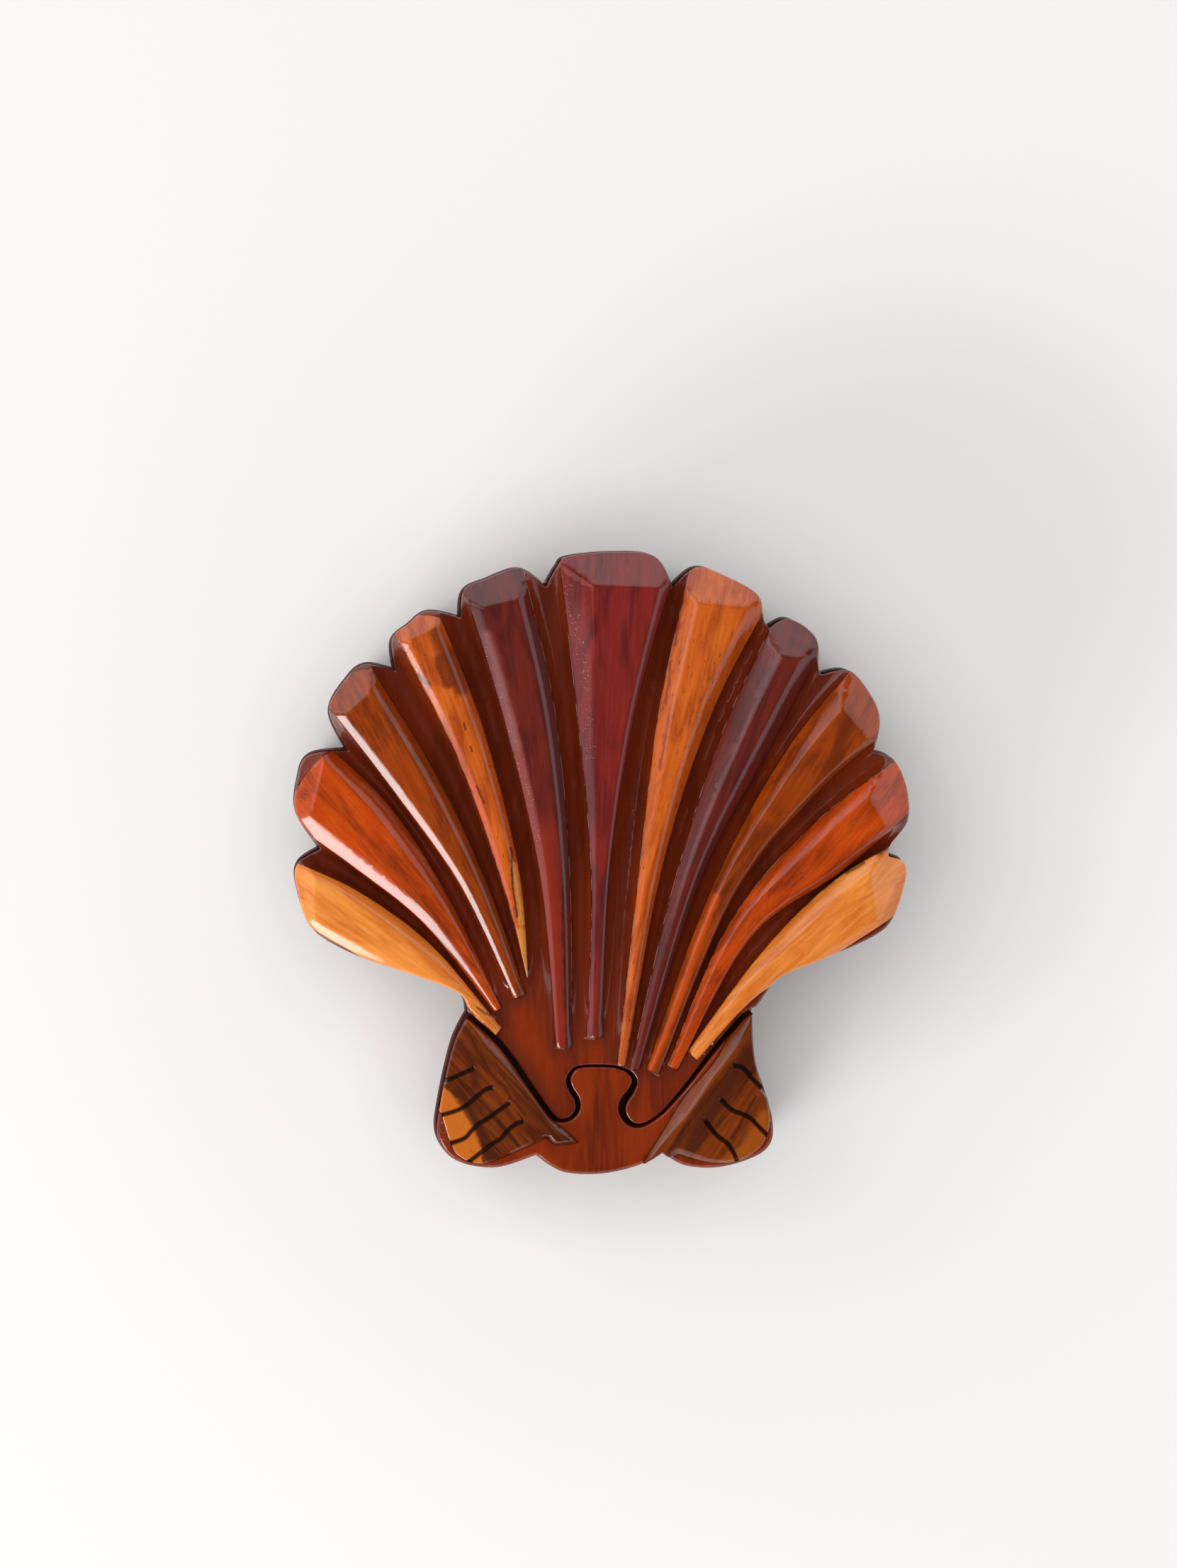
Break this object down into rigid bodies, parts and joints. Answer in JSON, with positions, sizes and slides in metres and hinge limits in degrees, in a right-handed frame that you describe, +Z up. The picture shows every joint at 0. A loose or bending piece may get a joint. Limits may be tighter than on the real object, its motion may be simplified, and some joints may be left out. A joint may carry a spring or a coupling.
{
  "type": "shell box",
  "caption": "Hollow wooden keepsake box in the shape of a scallop shell, with inlaid ribs on a lift-off lid and a jigsaw-locked tail piece with carved ears.",
  "frame": {"origin": "on the ground under the middle of the box's bounding box", "axes": "+Z up, +Y towards the rim of the fan, +X to the right seen from above"},
  "size_m": [0.1324, 0.134, 0.0438],
  "materials": {
    "dark_body_wood": "gloss varnish",
    "mahogany": "gloss varnish",
    "pale_yellow_wood": "gloss varnish",
    "orange_red_wood": "gloss varnish",
    "brown_orange_wood": "gloss varnish",
    "streaked_orange_wood": "gloss varnish",
    "purple_brown_wood": "gloss varnish",
    "purple_red_wood": "gloss varnish",
    "striped_ear_wood": "gloss varnish"
  },
  "bodies": {
    "root": {"box_body": "dark_body_wood", "shell_lid": "mahogany", "key_piece": "mahogany", "rib_left_5": "pale_yellow_wood", "rib_left_4": "orange_red_wood", "rib_left_3": "brown_orange_wood", "rib_left_2": "streaked_orange_wood", "rib_left_1": "purple_brown_wood", "rib_centre": "purple_red_wood", "rib_right_1": "streaked_orange_wood", "rib_right_2": "purple_brown_wood", "rib_right_3": "brown_orange_wood", "rib_right_4": "orange_red_wood", "rib_right_5": "pale_yellow_wood", "ear_left": "striped_ear_wood", "ear_right": "striped_ear_wood"}
  },
  "joints": []
}
